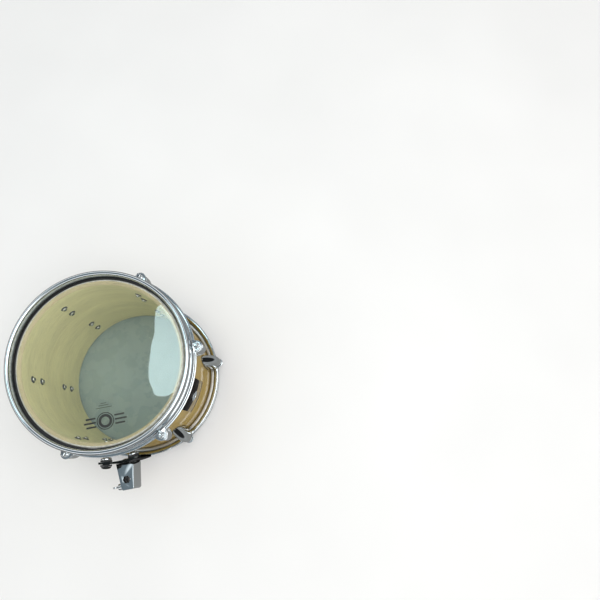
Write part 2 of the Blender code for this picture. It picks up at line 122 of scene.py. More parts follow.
def filleted(points, radius, closed=True, count=4):
    """An outline whose corners are rounded: radius is one number, or one for each corner."""
    radii = radius if isinstance(radius, (list, tuple)) else [radius] * len(points)
    outline = []
    for index, point in enumerate(points):
        ends = index in (0, len(points) - 1) and not closed
        here = Vector(point)
        before = Vector(points[index - 1]) - here
        after = Vector(points[(index + 1) % len(points)]) - here
        reach = min(radii[index], before.length * 0.48, after.length * 0.48)
        if ends or reach < 1e-6:
            outline.append(tuple(here))
            continue
        start, end = here + before.normalized() * reach, here + after.normalized() * reach
        for step in range(count + 1):
            share = step / count
            bend = (1 - share) ** 2 * start + 2 * share * (1 - share) * here + share ** 2 * end
            outline.append(tuple(bend))
    return outline


def offset(points, distance, closed=True):
    """The outline moved sideways: inwards for a counterclockwise one when distance is positive."""
    moved = []
    last = len(points) - 1
    for index, point in enumerate(points):
        before = Vector(points[index - 1]) if closed or index else Vector(point)
        after = Vector(points[(index + 1) % len(points)]) if closed or index < last else Vector(point)
        along = (after - before).normalized()
        moved.append((point[0] - along.y * distance, point[1] + along.x * distance))
    return moved


def sheet_section(line, sheet):
    """The closed section of a bent sheet, with round edges, about a line drawn along its middle."""
    left, right = offset(line, sheet / 2, False), offset(line, -sheet / 2, False)
    ends = []
    for tip, inner in ((line[-1], line[-2]), (line[0], line[1])):
        along = math.degrees(math.atan2(tip[1] - inner[1], tip[0] - inner[0]))
        ends.append(arc(tip, sheet / 2, along + 90, along - 90, 6)[1:-1])
    return left + ends[0] + right[::-1] + ends[1]


def rounded_outline(half_width, half_height, corner, count=8):
    outline = []
    for quarter, (x, y) in enumerate(((1, 1), (-1, 1), (-1, -1), (1, -1))):
        middle = (x * (half_width - corner), y * (half_height - corner))
        outline += arc(middle, corner, 90 * quarter, 90 * quarter + 90, count)
    return outline


def ring_of(radius, count=48, height=0.0, turn=0.0):
    angles = [turn + math.tau * index / count for index in range(count)]
    return [Vector((radius * math.cos(a), radius * math.sin(a), height)) for a in angles]


# Meshes

def finished(shape, sharp=38):
    bmesh.ops.recalc_face_normals(shape, faces=shape.faces)
    mesh = bpy.data.meshes.new("fine")
    shape.to_mesh(mesh)
    shape.free()
    mesh.shade_smooth()
    mesh.set_sharp_from_angle(angle=math.radians(sharp))
    return mesh


def turned(points, steps=FINE, closed=True):
    """A section turned about Z: closed for a ring, or a line that starts and ends on the axis."""
    shape = bmesh.new()
    verts = [shape.verts.new((radius, 0, height)) for radius, height in points]
    pairs = zip(verts, verts[1:] + verts[:1] if closed else verts[1:])
    edges = [shape.edges.new(pair) for pair in pairs]
    bmesh.ops.spin(shape, geom=verts + edges, cent=(0, 0, 0), axis=(0, 0, 1), angle=math.tau,
                   steps=steps, use_merge=True)
    bmesh.ops.remove_doubles(shape, verts=shape.verts, dist=0.000001)
    return finished(shape)


def loft(rings):
    """A closed body through rings that have the same number of points."""
    shape = bmesh.new()
    rows = [[shape.verts.new(point) for point in ring] for ring in rings]
    for lower, upper in zip(rows, rows[1:]):
        for index in range(len(lower)):
            following = (index + 1) % len(lower)
            shape.faces.new((lower[index], lower[following], upper[following], upper[index]))
    shape.faces.new(rows[0][::-1])
    shape.faces.new(rows[-1])
    return finished(shape)


def prism(outline, low, high, edge=0.0, count=3):
    """A flat counterclockwise outline, extruded, with its two rims rounded by edge."""
    if not edge:
        return loft([[Vector((x, y, height)) for x, y in outline] for height in (low, high)])
    rings = []
    for step in range(count + 1):
        angle = math.pi / 2 * step / count
        inset, rise = edge * (1 - math.sin(angle)), edge * (1 - math.cos(angle))
        rings.append([Vector((x, y, low + rise)) for x, y in offset(outline, inset)])
    above = [[Vector((point.x, point.y, low + high - point.z)) for point in ring] for ring in rings[::-1]]
    return loft(rings + above)


def box_mesh(low, high):
    outline = [(low[0], low[1]), (high[0], low[1]), (high[0], high[1]), (low[0], high[1])]
    return prism(outline, low[2], high[2])


def moved(mesh, matrix):
    mesh.transform(matrix)
    return mesh


def combined(mesh, steps, bevel=0.0, sharp=38):
    """The mesh after Boolean steps, each (operation, mesh), with rounded edges if bevel is given."""
    scene = bpy.context.scene.collection
    base = bpy.data.objects.new("base", mesh)
    scene.objects.link(base)
    made = [base]
    for operation, tool_mesh in steps:
        tool = bpy.data.objects.new("tool", tool_mesh)
        scene.objects.link(tool)
        made.append(tool)
        step = base.modifiers.new("step", "BOOLEAN")
        step.object, step.operation, step.solver = tool, operation, "EXACT"
    if bevel:
        rounding = base.modifiers.new("edges", "BEVEL")
        rounding.width, rounding.segments, rounding.limit_method = bevel, 3, "ANGLE"
        rounding.angle_limit = math.radians(40)
        rounding.use_clamp_overlap = True
    bpy.context.view_layer.update()
    result = bpy.data.meshes.new_from_object(base.evaluated_get(bpy.context.evaluated_depsgraph_get()))
    for item in made:
        bpy.data.objects.remove(item)
    shape = bmesh.new()
    shape.from_mesh(result)
    bmesh.ops.remove_doubles(shape, verts=shape.verts, dist=0.000002)
    return finished(shape, sharp)


def joined(meshes):
    """Several closed bodies as one mesh."""
    shape = bmesh.new()
    for mesh in meshes:
        shape.from_mesh(mesh)
    return finished(shape)


# Placing

def radial(angle, distance=0.0, height=0.0):
    """Local Z points away from the drum axis, local Y points up."""
    outward = Vector((math.cos(angle), math.sin(angle), 0))
    place = Matrix((Vector((0, 0, 1)).cross(outward), Vector((0, 0, 1)), outward)).transposed().to_4x4()
    place.translation = Vector((0, CENTRE.y, height)) + outward * distance
    return place


def about_axis(side, angle=0.0):
    """At the drum's middle, turned to face the side's head and then about the axis."""
    return Matrix.Translation(CENTRE) @ Matrix.Rotation(angle, 4, "Z") @ Matrix.Rotation(SIDES[side], 4, "X")


def row_angles():
    return [math.tau * index / LUG_COUNT for index in range(LUG_COUNT)]


def at_mount(x, radius):
    return (x, CENTRE.y - radius)


def show(name, mesh, finishes, nodes=(), place=None, body="drum"):
    """Puts a piece in the scene on its body: it takes the given finishes unless its mesh has some, and stands
    for the CAD nodes, which it hides.
    """
    piece = bpy.data.objects.new(name, mesh)
    bpy.context.scene.collection.objects.link(piece)
    piece.matrix_world = place or Matrix.Translation(CENTRE)
    if not mesh.materials:
        for finish in finishes if isinstance(finishes, (list, tuple)) else [finishes]:
            mesh.materials.append(finish)
    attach(piece, body)
    if nodes:
        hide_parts(*nodes)
    return piece


# Materials

def new_shader(name, colour, roughness, metallic=0.0):
    made = bpy.data.materials.new(name)
    made.use_nodes = True
    shader = made.node_tree.nodes["Principled BSDF"]
    shader.inputs["Base Color"].default_value = (*colour, 1)
    shader.inputs["Roughness"].default_value = roughness
    shader.inputs["Metallic"].default_value = metallic
    return made, made.node_tree, shader


def add_node(tree, kind, links=(), **values):
    """A node with its inputs set by name, and links given as (input, output socket)."""
    node = tree.nodes.new(kind)
    for key, value in values.items():
        if key in ("operation", "blend_type", "data_type", "feature", "clamp"):
            setattr(node, key, value)
        else:
            node.inputs[key].default_value = value
    for name, output in links:
        tree.links.new(output, node.inputs[name])
    return node


def stretched_noise(tree, scale, stretch, detail=4.0, roughness=0.55):
    """Noise in object space, drawn out along the axes where stretch is small."""
    place = add_node(tree, "ShaderNodeTexCoord")
    mapping = add_node(tree, "ShaderNodeMapping", [("Vector", place.outputs["Object"])], Scale=stretch)
    noise = add_node(tree, "ShaderNodeTexNoise", [("Vector", mapping.outputs["Vector"])],
                     Scale=scale, Detail=detail, Roughness=roughness)
    return noise.outputs["Fac"]


def ramp(tree, factor, stops):
    node = add_node(tree, "ShaderNodeValToRGB", [("Fac", factor)])
    bar = node.color_ramp.elements
    while len(bar) < len(stops):
        bar.new(0.5)
    for element, (position, colour) in zip(bar, stops):
        element.position = position
        element.color = (*colour, 1) if isinstance(colour, tuple) else (colour, colour, colour, 1)
    return node.outputs["Color"]


def mixed(tree, factor, first, second, blend_type="MIX"):
    """A colour mix: factor, first and second are sockets or plain values."""
    node = tree.nodes.new("ShaderNodeMix")
    node.data_type, node.blend_type = "RGBA", blend_type
    for socket, value in ((node.inputs[0], factor), (node.inputs[6], first), (node.inputs[7], second)):
        if isinstance(value, bpy.types.NodeSocket):
            tree.links.new(value, socket)
        else:
            socket.default_value = (*value, 1) if isinstance(value, tuple) else value
    return node.outputs[2]


def bumped(tree, shader, height, strength, distance):
    bump = add_node(tree, "ShaderNodeBump", [("Height", height)], Strength=strength, Distance=distance)
    tree.links.new(bump.outputs["Normal"], shader.inputs["Normal"])


def wood(name, pale, middle, dark, roughness, lacquer):
    """Maple veneer whose grain runs round the shell, with broad figure and fine pores."""
    made, tree, shader = new_shader(name, middle, roughness)
    grain = stretched_noise(tree, 26, (0.5, 0.5, 14), 6, 0.62)
    figure = stretched_noise(tree, 9, (0.9, 0.9, 4), 3)
    pores = stretched_noise(tree, 300, (0.25, 0.25, 3.5), 2)
    colour = ramp(tree, grain, [(0.30, dark), (0.50, middle), (0.68, pale)])
    colour = mixed(tree, 0.55, colour, ramp(tree, figure, [(0.35, 0.80), (0.65, 1.0)]), "MULTIPLY")
    colour = mixed(tree, 0.35, colour, ramp(tree, pores, [(0.36, 0.62), (0.46, 1.0)]), "MULTIPLY")
    tree.links.new(colour, shader.inputs["Base Color"])
    bumped(tree, shader, pores, 0.10 if lacquer else 0.30, 0.0002)
    if lacquer:
        shader.inputs["Specular IOR Level"].default_value = 0.1
        shader.inputs["Coat Weight"].default_value = 0.35
        shader.inputs["Coat Roughness"].default_value = 0.05
    return made


def plies(name):
    """The bearing edge: cut maple plies, with thin glue lines that follow the edge."""
    made, tree, shader = new_shader(name, (0.50, 0.42, 0.26), 0.60)
    place = add_node(tree, "ShaderNodeTexCoord")
    parts = add_node(tree, "ShaderNodeSeparateXYZ", [("Vector", place.outputs["Object"])])
    flat = add_node(tree, "ShaderNodeCombineXYZ", [("X", parts.outputs["X"]), ("Y", parts.outputs["Y"])])
    length = add_node(tree, "ShaderNodeVectorMath", [(0, flat.outputs["Vector"])], operation="LENGTH")
    count = add_node(tree, "ShaderNodeMath", [(0, length.outputs["Value"])], operation="MULTIPLY")
    count.inputs[1].default_value = 1 / 0.001
    part = add_node(tree, "ShaderNodeMath", [(0, count.outputs[0])], operation="FRACT")
    lines = ramp(tree, part.outputs[0], [(0.0, (0.30, 0.22, 0.12)), (0.16, (0.50, 0.42, 0.26)),
                                         (0.55, (0.44, 0.37, 0.22)), (1.0, (0.54, 0.46, 0.29))])
    grain = stretched_noise(tree, 60, (1, 1, 1), 4)
    colour = mixed(tree, 0.5, lines, ramp(tree, grain, [(0.3, 0.75), (0.7, 1.0)]), "MULTIPLY")
    tree.links.new(colour, shader.inputs["Base Color"])
    return made


def metal(name, colour, roughness, spread=0.05, wear=0.03):
    """Plated metal: smudges change the gloss a little, and the surface is faintly wavy."""
    made, tree, shader = new_shader(name, colour, roughness, 1.0)
    smudge = stretched_noise(tree, 55, (1, 1, 1), 5)
    low, high = max(roughness - spread / 2, 0.02), roughness + spread
    tree.links.new(ramp(tree, smudge, [(0.35, low), (0.70, high)]), shader.inputs["Roughness"])
    speck = stretched_noise(tree, 420, (1, 1, 1), 3)
    tint = ramp(tree, speck, [(0.28, tuple(part * (1 - 4 * wear) for part in colour)), (0.40, colour)])
    tree.links.new(tint, shader.inputs["Base Color"])
    bumped(tree, shader, stretched_noise(tree, 35, (1, 1, 1), 2), 0.03, 0.0004)
    return made


def brushed(name, colour, roughness):
    """Rolled aluminium, with fine lines along the ring."""
    made, tree, shader = new_shader(name, colour, roughness, 1.0)
    lines = stretched_noise(tree, 120, (0.05, 0.05, 12), 3)
    tree.links.new(ramp(tree, lines, [(0.3, roughness * 0.75), (0.7, roughness * 1.3)]),
                   shader.inputs["Roughness"])
    bumped(tree, shader, lines, 0.15, 0.0001)
    return made


def clear_film(name):
    """Polyester film: clear, with light from the lamps let through."""
    made, tree, shader = new_shader(name, (0.97, 0.985, 0.97), 0.02)
    shader.inputs["Transmission Weight"].default_value = 1.0
    shader.inputs["IOR"].default_value = 1.60
    bumped(tree, shader, stretched_noise(tree, 14, (1, 1, 1), 2), 0.06, 0.0006)
    path = add_node(tree, "ShaderNodeLightPath")
    through = add_node(tree, "ShaderNodeBsdfTransparent", Color=(0.90, 0.92, 0.90, 1))
    mix = add_node(tree, "ShaderNodeMixShader", [(0, path.outputs["Is Shadow Ray"])])
    tree.links.new(shader.outputs["BSDF"], mix.inputs[1])
    tree.links.new(through.outputs["BSDF"], mix.inputs[2])
    tree.links.new(mix.outputs["Shader"], tree.nodes["Material Output"].inputs["Surface"])
    return made


def hazy_film(name):
    """The resonant film: grey-blue haze, slightly uneven, with a soft gloss."""
    made, tree, shader = new_shader(name, (0.27, 0.34, 0.31), 0.30)
    cloud = stretched_noise(tree, 7, (1, 1, 1), 3)
    tree.links.new(ramp(tree, cloud, [(0.30, (0.235, 0.290, 0.282)), (0.70, (0.27, 0.335, 0.322))]),
                   shader.inputs["Base Color"])
    smudge = stretched_noise(tree, 40, (1, 1, 1), 5)
    tree.links.new(ramp(tree, smudge, [(0.35, 0.22), (0.70, 0.36)]), shader.inputs["Roughness"])
    return made


def matt(name, colour, roughness, grain=600, relief=0.25):
    """Moulded or painted surface with a fine grain."""
    made, tree, shader = new_shader(name, colour, roughness)
    noise = stretched_noise(tree, grain, (1, 1, 1), 3)
    tree.links.new(ramp(tree, noise, [(0.3, tuple(part * 0.7 for part in colour)),
                                      (0.7, tuple(min(part * 1.25, 1) for part in colour))]),
                   shader.inputs["Base Color"])
    tree.links.new(ramp(tree, stretched_noise(tree, 45, (1, 1, 1), 4),
                        [(0.3, roughness * 0.85), (0.7, min(roughness * 1.2, 1))]),
                   shader.inputs["Roughness"])
    bumped(tree, shader, noise, relief, 0.0001)
    return made


LACQUER = wood("lacquered_maple", (0.58, 0.42, 0.13), (0.50, 0.35, 0.095), (0.40, 0.26, 0.065), 0.42, True)
BARE = wood("bare_maple", (0.76, 0.715, 0.43), (0.715, 0.67, 0.395), (0.66, 0.61, 0.35), 0.62, False)
PLIES = plies("edge_plies")
CHROME = metal("chrome", (0.62, 0.66, 0.68), 0.05)
DARK_CHROME = metal("dark_chrome", (0.035, 0.038, 0.037), 0.24)
edge_tint = DARK_CHROME.node_tree.nodes["Principled BSDF"].inputs["Specular Tint"]
edge_tint.default_value = (0.12, 0.12, 0.12, 1)
ZINC = metal("zinc_plate", (0.58, 0.58, 0.57), 0.26, 0.12, 0.05)
DARK_STEEL = metal("dark_washer_steel", (0.13, 0.135, 0.15), 0.38, 0.12, 0.05)
ALUMINIUM = brushed("rolled_aluminium", (0.78, 0.79, 0.80), 0.32)
# Painted highlight: a pale opaque finish that stands for the glint on the film's bend.
FILM_BEND_HIGHLIGHT_FINISH = matt("film_bend_painted_highlight", (0.60, 0.60, 0.54), 0.18, 200, 0.02)
# Painted shade: a near-black finish put where the gap between the film and the hoop lies in shade.
CHANNEL_SHADE = matt("channel_painted_shade", (0.012, 0.012, 0.013), 0.5, 200, 0.1)
CLEAR = clear_film("clear_film")
HAZY = hazy_film("hazy_film")
RUBBER = matt("rubber", (0.028, 0.028, 0.030), 0.72)
INK = matt("print_ink", (0.012, 0.012, 0.013), 0.45, 900, 0.05)
CAST_ZINC = matt("cast_zinc", (0.50, 0.51, 0.51), 0.35, 300, 0.1)


# Shell and heads

def make_shell():
    """The plied tube, with its bearing edges and the vent's hole: lacquer outside, plies on the edges."""
    inner = SHELL_RADIUS - SHELL_WALL
    edge = [(SHELL_RADIUS, HEAD - 0.0020)] + arc((SHELL_RADIUS - 0.0017, HEAD - 0.0017), 0.0017, 0, 90, 6)
    edge += [(SHELL_RADIUS - 0.0024, HEAD - 0.0003), (inner, HEAD - 0.0045)]
    lower = [(radius, -height) for radius, height in edge]
    wall = [(SHELL_RADIUS, HEAD * share) for share in (0.6, 0.2, -0.2, -0.6)]
    back = [(inner, -height) for _, height in wall]
    section = edge[::-1] + wall + lower + back
    bore = moved(loft([ring_of(VENT_RADIUS, 40, 0.100), ring_of(VENT_RADIUS, 40, 0.140)]),
                 Matrix.Translation(-CENTRE) @ radial(BADGE_ANGLE, 0, CENTRE.z))
    mesh = combined(turned(section), [("DIFFERENCE", bore)])
    for finish in (LACQUER, BARE, PLIES):
        mesh.materials.append(finish)
    for face in mesh.polygons:
        middle = face.center
        radius = math.hypot(middle.x, middle.y)
        if abs(middle.z) > HEAD - EDGE_DEPTH and radius < SHELL_RADIUS - 0.0006:
            face.material_index = 2
        elif radius < SHELL_RADIUS - 0.0006:
            face.material_index = 1
    show("shell_ply", mesh, [], ["shell"])


def make_heads():
    """A moulded film with its collar, and the rolled channel that holds the collar; the film's bend carries a
    painted highlight and the channel's top a painted shade.
    """
    flat = [(0, HEAD + 2 * GAP)] + [(FLAT_RADIUS * share, HEAD + 2 * GAP) for share in (0.25, 0.5, 0.75, 1)]
    bend = arc((BEND_CENTRE, HEAD - BEND_DROP), BEND_RADIUS, 82, 6, 10)
    outside = flat + bend + [(0.1285, HEAD - 0.0050), (0.1286, HEAD - 0.0085)]
    inside = [(0.1283, HEAD - 0.0085), (0.1282, HEAD - 0.0050)]
    inside += arc((BEND_CENTRE, HEAD - BEND_DROP), BEND_RADIUS - GAP, 6, 82, 10)
    inside += [(FLAT_RADIUS * share, HEAD + GAP) for share in (1, 0.75, 0.5, 0.25, 0)]
    skin = turned(outside + inside, closed=False)
    channel = [(0.1290, HEAD - 0.0022), (0.1336, HEAD - 0.0022), (0.1336, HEAD - 0.0100),
               (0.1290, HEAD - 0.0100)]
    ring = turned(filleted(channel[::-1], 0.0008))
    ring.materials.append(ALUMINIUM)
    ring.materials.append(CHANNEL_SHADE)
    # Painted shade: the top of the head ring's channel, inside the edge radius, takes the near-black finish.
    for face in ring.polygons:
        if face.center.z > HEAD - 0.0060 and math.hypot(face.center.x, face.center.y) < CHANNEL_SHADE_EDGE:
            face.material_index = 1
    for side, finish, slot in (("batter", CLEAR, "clear_film"), ("reso", HAZY, "grey_film")):
        film = skin.copy()
        film.materials.append(finish)
        film.materials.append(FILM_BEND_HIGHLIGHT_FINISH)
        # Painted highlight: beyond the bend radius the film takes the pale finish in place of the glint on its
        # bend.
        for face in film.polygons:
            if math.hypot(face.center.x, face.center.y) > HIGHLIGHT_START_RADIUS:
                face.material_index = 1
        show(f"{side}_skin", film, [], [f"{side}_head_film"], about_axis(side))
        show(f"{side}_flesh_ring", ring, ALUMINIUM, [f"{side}_head_ring"], about_axis(side))


def make_head_print():
    """A plain ring with bars at its sides, and three short lines, printed on the batter film."""
    top = HEAD + 2 * GAP + 0.00002
    thick = 0.00004

    def bar(x, y, width, height):
        outline = [(x + px, y + py) for px, py in rounded_outline(width / 2, height / 2, height * 0.3, 4)]
        return prism(outline, top, top + thick)

    def band(radius, width):
        return turned([(radius, top), (radius + width, top), (radius + width, top + thick),
                       (radius, top + thick)], 72)

    marks = [band(0.0115, 0.0014), band(0.0062, 0.0040)]
    for side in (-1, 1):
        for row, width in ((0.0062, 0.0150), (0.0, 0.0180), (-0.0062, 0.0150)):
            marks.append(bar(side * (0.0140 + width / 2), row, width, 0.0026))
    for row, width in ((0.0200, 0.0240), (0.0235, 0.0150), (0.0265, 0.0090)):
        marks.append(bar(0, row, width, 0.0009))
    show("head_print", joined(marks), INK, place=Matrix.Translation(CENTRE + PRINT_PLACE))


# Hoops, rods and lugs

def ear_outline():
    root, half = LIP_CENTRE + 0.0008, EAR_RADIUS + 0.0025
    tip = arc((ROD_CIRCLE, 0), EAR_RADIUS, -75, 75, 21)
    neck = [(root, -half), (root + 0.0040, -half)]
    return neck + tip + [(root + 0.0040, half), (root, half)]


def hoop_mesh():
    """Triple-flanged hoop: rolled lip, step over the head's ring, and a flange with six ears."""
    centre = HEAD + RIM_RISE - HOOP_SHEET / 2 - LIP_RADIUS
    lip = arc((LIP_CENTRE, centre), LIP_RADIUS, -25, 180, 18)
    skirt = [(LIP_CENTRE - LIP_RADIUS, HEAD + 0.0040), (0.1326, HEAD + 0.0008), (0.1357, HEAD - 0.0026),
             (0.1360, HEAD - 0.0155), (0.1385, HEAD - EAR_DROP), (0.1420, HEAD - EAR_DROP)]
    line = lip + filleted(skirt, [0, 0.0012, 0.0012, 0.0022, 0.0012, 0], False, 5)[1:]
    ring = turned(sheet_section(line, HOOP_SHEET))
    low, high = HEAD - EAR_DROP - EAR_SHEET / 2, HEAD - EAR_DROP + EAR_SHEET / 2
    steps = []
    for angle in row_angles():
        turn = Matrix.Rotation(angle, 4, "Z")
        steps.append(("UNION", moved(prism(ear_outline(), low, high, 0.0005), turn)))
    for angle in row_angles():
        turn = Matrix.Rotation(angle, 4, "Z") @ Matrix.Translation((ROD_CIRCLE, 0, 0))
        steps.append(("DIFFERENCE", moved(loft([ring_of(ROD_HOLE, 24, low - 0.002),
                                                ring_of(ROD_HOLE, 24, high + 0.002)]), turn)))
    return combined(ring, steps)


def lug_section(width, depth, height):
    """A base that follows the shell, and a full rounded front with a slight ridge."""
    half, count = width / 2, 28
    back = [Vector((math.sqrt((SHELL_RADIUS + 0.0008) ** 2 - y * y), y, height))
            for y in (half * (1 - 2 * index / 8) for index in range(9))]
    front = []
    for index in range(1, count):
        angle = math.pi * index / count - math.pi / 2
        y, rise = math.sin(angle), math.cos(angle)
        edge = math.sqrt((SHELL_RADIUS + 0.0008) ** 2 - (half * y) ** 2)
        reach = (SHELL_RADIUS + depth - edge) * rise ** 0.80
        front.append(Vector((edge + reach, half * y, height)))
    return back + front


def lug_mesh():
    """A bullet lug: full at the hoop's end, where it is hollow for its nut, and tapered to a tail."""
    top = HEAD - LUG_TOP
    steps = [(0.0, 0.88, 0.90), (0.0003, 0.93, 0.945), (0.0009, 0.975, 0.985), (0.0020, 1.0, 1.0)]
    steps += [(0.006 * index, 1.0, 1.0) for index in range(1, 4)]
    for index in range(1, 15):
        share = index / 14
        taper = math.cos(share * math.pi / 2)
        steps.append((0.018 + (LUG_LENGTH - 0.018) * share, 0.16 + 0.84 * taper ** 0.62,
                      0.06 + 0.94 * taper ** 1.05))
    rings = [lug_section(LUG_WIDTH * wide, LUG_DEPTH * deep, top - drop) for drop, wide, deep in steps]
    mouth = POCKET_RADIUS + 0.0012
    pocket = loft([ring_of(POCKET_RADIUS, 32, top - POCKET_DEPTH), ring_of(POCKET_RADIUS, 32, top - 0.0010),
                   ring_of(mouth, 32, top + 0.0006), ring_of(mouth, 32, top + 0.002)])
    return combined(loft(rings), [("DIFFERENCE", moved(pocket, Matrix.Translation((ROD_CIRCLE, 0, 0))))])


def gasket_mesh():
    """The thin pad between a lug and the shell."""
    top, low = HEAD - LUG_TOP + 0.0006, HEAD - LUG_TOP - LUG_LENGTH - 0.0006
    rings = []
    for index in range(25):
        share = index / 24
        taper = math.cos(max(0.0, (share - 0.375) / 0.625) * math.pi / 2)
        half = LUG_WIDTH / 2 * (0.16 + 0.84 * taper ** 0.62) + 0.0006
        half *= 0.9 if index == 0 else 1.0
        rows = [Vector((0, half * (1 - 2 * step / 10), top + (low - top) * share)) for step in range(11)]
        inner = [Vector((math.sqrt((SHELL_RADIUS + 0.0001) ** 2 - p.y ** 2), p.y, p.z)) for p in rows]
        outer = [Vector((math.sqrt((SHELL_RADIUS + 0.0007) ** 2 - p.y ** 2), p.y, p.z)) for p in rows[::-1]]
        rings.append(inner + outer)
    return loft(rings)


def rod_mesh():
    """Threaded shank, washer, collar and square key head, about the rod's own axis."""
    seat = HEAD - EAR_DROP + EAR_SHEET / 2 + GAP
    low = seat - ROD_LENGTH
    turns = int((ROD_LENGTH - 0.002) / THREAD_PITCH)
    section = [(0, low - 0.001), (ROD_RADIUS - 0.0008, low - 0.001)]
    for index in range(turns):
        base = low + THREAD_PITCH * index
        section += [(ROD_RADIUS - 0.0004, base), (ROD_RADIUS, base + THREAD_PITCH / 2)]
    washer = filleted([(ROD_RADIUS, seat), (0.0058, seat), (0.0058, seat + 0.0011), (0.0050, seat + 0.0011)],
                      0.0004, False)
    collar = filleted([(0.0050, seat + 0.0011), (0.0048, seat + 0.0024), (0.0037, seat + 0.0031),
                       (0.0, seat + 0.0032)], 0.0006, False)
    body = turned(section + washer + collar[1:], 28, closed=False)
    half, top = KEY_SIZE / 2, seat + 0.0020 + KEY_HEIGHT
    outline = rounded_outline(half, half, 0.0007, 5)
    levels = ((seat + 0.0015, 0.0), (top - 0.0012, 0.0), (top - 0.0005, 0.0003), (top - 0.0001, 0.0009),
              (top, 0.0014))
    key = loft([[Vector((x, y, height)) for x, y in offset(outline, inset)] for height, inset in levels])
    return combined(body, [("UNION", key)])


def make_tension_parts():
    hoop, lug, gasket, rod = hoop_mesh(), lug_mesh(), gasket_mesh(), rod_mesh()
    for side in SIDES:
        show(f"{side}_rim", hoop, CHROME, [f"{side}_hoop"], about_axis(side))
        for number, angle in enumerate(row_angles(), 1):
            place = about_axis(side, angle)
            outward = Vector((math.cos(angle), math.sin(angle), 0)) * ROD_CIRCLE
            show(f"{side}_lug_casting_{number}", lug, CHROME, [f"{side}_lug_{number}"], place)
            show(f"{side}_lug_gasket_{number}", gasket, RUBBER, place=place)
            show(f"{side}_key_rod_{number}", rod, CHROME, [f"{side}_tension_rod_{number}"],
                 Matrix.Translation(outward) @ place, f"{side}_rod_{number}")


def make_inner_screws():
    """The screws that hold the lugs and the mount's posts, each with a dark dished washer."""
    washer = turned(filleted([(0.0020, 0.0004), (0.0020, 0.0013), (0.0048, 0.0009), (0.0056, 0.0),
                              (0.0030, 0.0)][::-1], 0.0002), 40)
    head = turned(filleted([(0, 0.0012), (0.0036, 0.0012), (0.0037, 0.0022), (0.0028, 0.0034), (0, 0.0038)],
                           0.0007, False), 32, closed=False)
    slots = []
    for turn in (0, math.pi / 2):
        slot = box_mesh((-0.0019, -0.00042, 0.0022), (0.0019, 0.00042, 0.0050))
        slots.append(("DIFFERENCE", moved(slot, Matrix.Rotation(turn, 4, "Z"))))
    head = combined(head, slots)
    wall = SHELL_RADIUS - SHELL_WALL - 0.0002
    places = []
    for side, sign in (("batter", 1), ("reso", -1)):
        for number, angle in enumerate(row_angles(), 1):
            for row, drop in zip(("outer", "inner"), LUG_SCREWS):
                places.append((f"{side}_lug_{row}_screw_{number}", angle, sign * (HEAD - drop)))
    for name, angle in post_places().items():
        places.append((f"{name}_post_screw", angle, HEAD - POST_DROP))
    for index, (name, angle, height) in enumerate(places):
        place = radial(angle, wall, CENTRE.z + height) @ Matrix.Rotation(math.pi, 4, "Y")
        place = place @ Matrix.Rotation(index * 0.7, 4, "Z")
        show(f"{name}_washer", washer, DARK_STEEL, place=place)
        show(name, head, ZINC, place=place)


# Badge and vent

def curved_plate(inner, sheet, outline, angle, height, holes, edge):
    """A piece of a tube's wall, trimmed to an outline, with round holes given as (angle, height, radius)."""
    reach = max(abs(y) for x, y in outline) + 0.005
    ring = turned([(inner + sheet, reach), (inner + sheet, -reach), (inner, -reach), (inner, reach)], 360)
    trim = loft([[Vector((x, y, z)) for x, y in outline] for z in (inner * 0.8, inner * 1.2)])
    here = Matrix.Translation(Vector((0, -CENTRE.y, -height)))
    steps = [("INTERSECT", moved(trim, here @ radial(angle, 0, height)))]
    for hole_angle, hole_height, radius in holes:
        bore = loft([ring_of(radius, 40, inner - 0.01), ring_of(radius, 40, inner + 0.012)])
        steps.append(("DIFFERENCE", moved(bore, here @ radial(hole_angle, 0, hole_height))))
    return combined(ring, steps, edge)


def badge_finish():
    """Black enamel above, a foil panel below it and a thin black line at the foot, by height."""
    made, tree, shader = new_shader("badge_face", (0.01, 0.01, 0.01), 0.22)
    shader.inputs["Specular IOR Level"].default_value = 0.02
    place = add_node(tree, "ShaderNodeTexCoord")
    parts = add_node(tree, "ShaderNodeSeparateXYZ", [("Vector", place.outputs["Object"])])
    share = add_node(tree, "ShaderNodeMath", [(0, parts.outputs["Z"])], operation="MULTIPLY_ADD")
    share.inputs[1].default_value = 1 / BADGE_HEIGHT
    share.inputs[2].default_value = 0.5
    lines = stretched_noise(tree, 500, (1, 1, 0.08), 3)
    foil = ramp(tree, lines, [(0.3, (0.40, 0.29, 0.12)), (0.7, (0.60, 0.45, 0.21))])
    zone = ramp(tree, share.outputs[0], [(0.0, 0.0), (0.055, 1.0), (0.40, 0.0)])
    zone.node.color_ramp.interpolation = "CONSTANT"
    tree.links.new(mixed(tree, zone, (0.010, 0.009, 0.008), foil), shader.inputs["Base Color"])
    tree.links.new(zone, shader.inputs["Metallic"])
    tree.links.new(mixed(tree, zone, (0.20, 0.20, 0.20), (0.34, 0.34, 0.34)), shader.inputs["Roughness"])
    return made


